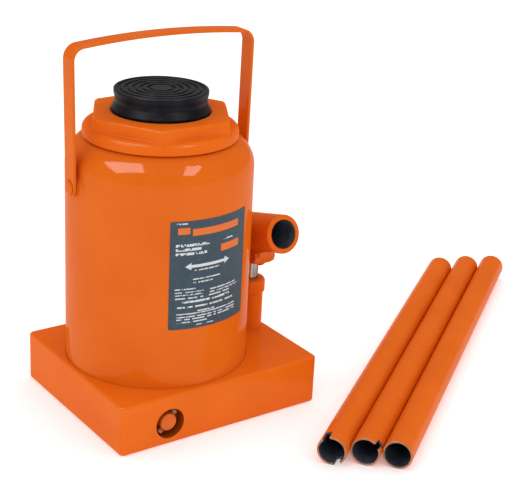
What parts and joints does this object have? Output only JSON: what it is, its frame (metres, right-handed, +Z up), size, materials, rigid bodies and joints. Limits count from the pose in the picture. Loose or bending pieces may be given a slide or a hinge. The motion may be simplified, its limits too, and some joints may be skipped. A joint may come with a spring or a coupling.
{
  "type": "hydraulic bottle jack",
  "caption": "Heavy hydraulic bottle jack with a square base, round reservoir, hexagon head nut, ringed saddle, side pump with lever socket, strap carrying handle and loose lever tubes.",
  "frame": {"origin": "on the ram's axis at the underside of the base", "axes": "+Z up along the ram, +X towards the pump, -Y is the face with the release valve"},
  "size_m": [0.593, 0.3277, 0.348],
  "materials": {
    "orange_enamel": "glossy orange enamel over steel and cast iron",
    "black_steel": "black oxide, satin",
    "chromed_steel": "ground and chromed",
    "machined_steel": "machined, lightly oiled",
    "spring_steel": "bright wire and stampings",
    "black_rubber": "matt",
    "copper": "soft copper washers",
    "bronze": "turned",
    "label_print": "satin printed sticker on a thin plate"
  },
  "bodies": {
    "jack_body": {"base": "orange_enamel", "link_lug": "orange_enamel", "cylinder_washer": "copper", "lift_cylinder": "machined_steel", "lower_shell_gasket": "black_rubber", "reservoir_shell": "orange_enamel", "upper_shell_gasket": "black_rubber", "head_nut": "orange_enamel", "head_seal": "black_rubber", "wiper_ring": "black_rubber", "handle_pivots": "orange_enamel", "pump_washer": "copper", "pump_cylinder": "orange_enamel", "gland_nut": "orange_enamel", "plunger_seal": "black_rubber", "inlet_ball": "machined_steel", "inlet_spring": "spring_steel", "inlet_plug": "machined_steel", "delivery_ball": "machined_steel", "delivery_spring": "spring_steel", "delivery_plug": "machined_steel", "gallery_plug": "machined_steel", "relief_ball": "machined_steel", "relief_spring": "spring_steel", "relief_screw": "machined_steel", "relief_cap": "bronze", "link_pin": "machined_steel", "link_pin_clips": "spring_steel", "label_plate": "label_print"},
    "ram": {"ram": "chromed_steel", "piston_guide": "bronze", "piston_seal": "black_rubber", "piston_retainer": "machined_steel", "saddle": "black_steel"},
    "handle_washers": {"handle_washers": "machined_steel"},
    "carry_handle": {"carry_handle": "orange_enamel"},
    "fulcrum_links": {"fulcrum_links": "machined_steel", "fulcrum_pin": "machined_steel", "fulcrum_pin_clips": "spring_steel"},
    "rocker": {"lever_socket": "orange_enamel", "socket_cheeks": "orange_enamel", "socket_end_plate": "orange_enamel"},
    "plunger": {"pump_plunger": "chromed_steel", "plunger_pin": "machined_steel", "plunger_pin_clips": "spring_steel"},
    "release_ball": {"release_ball": "machined_steel"},
    "release_spindle": {"release_spindle": "orange_enamel", "release_seal": "black_rubber"},
    "oil_filler_plug": {"oil_filler_plug": "black_rubber"},
    "lever_tube_1": {"lever_tube_1": "orange_enamel"},
    "lever_tube_2": {"lever_tube_2": "orange_enamel"},
    "lever_tube_3": {"lever_tube_3": "orange_enamel"}
  },
  "joints": [
    {"name": "ram_lift", "type": "slide", "parent": "jack_body", "child": "ram", "axis": [0, 0, 1], "range_m": [0, 0.18]},
    {"name": "handle_swing", "type": "hinge", "parent": "jack_body", "child": "handle_washers", "pos_m": [0, 0, 0.22], "axis": [-1, 0, 0], "range_deg": [-100, 0]},
    {"name": "handle_layover", "type": "hinge", "parent": "handle_washers", "child": "carry_handle", "pos_m": [0, 0, 0.22], "axis": [-1, 0, 0], "range_deg": [0, 125.1]},
    {"name": "link_swing", "type": "hinge", "parent": "jack_body", "child": "fulcrum_links", "pos_m": [0.1054, 0.02514, 0.058], "axis": [-1, 0, 0], "range_deg": [-6.3, 2.7]},
    {"name": "socket_swing", "type": "hinge", "parent": "fulcrum_links", "child": "rocker", "pos_m": [0.1054, 0.02514, 0.11036], "axis": [-1, 0, 0], "range_deg": [-15, 36]},
    {"name": "plunger_stroke", "type": "slide", "parent": "jack_body", "child": "plunger", "axis": [0, 0, 1], "range_m": [-0.0053, 0.0126]},
    {"name": "release_travel", "type": "slide", "parent": "jack_body", "child": "release_ball", "axis": [0, -1, 0], "range_m": [0, 0.0015]},
    {"name": "release_turn", "type": "hinge", "parent": "release_ball", "child": "release_spindle", "pos_m": [-0.0389, -0.08, 0.02], "axis": [0, -1, 0], "range_deg": [0, 361]},
    {"name": "filler_plug_pull", "type": "slide", "parent": "jack_body", "child": "oil_filler_plug", "axis": [0, 1, 0], "range_m": [0, 0.03]},
    {"name": "lever_tube_1_lift", "type": "slide", "parent": "jack_body", "child": "lever_tube_1", "axis": [0, 0, 1], "range_m": [0, 0.3]},
    {"name": "lever_tube_2_lift", "type": "slide", "parent": "jack_body", "child": "lever_tube_2", "axis": [0, 0, 1], "range_m": [0, 0.3]},
    {"name": "lever_tube_3_lift", "type": "slide", "parent": "jack_body", "child": "lever_tube_3", "axis": [0, 0, 1], "range_m": [0, 0.3]}
  ],
  "couplings": [
    {"joint": "handle_layover", "follows": "ram_lift", "rad_per_m": 12.12},
    {"joint": "link_swing", "follows": "socket_swing", "ratio": -0.173},
    {"joint": "plunger_stroke", "follows": "socket_swing", "m_per_rad": 0.01995},
    {"joint": "release_turn", "follows": "release_travel", "rad_per_m": 4188.8}
  ]
}
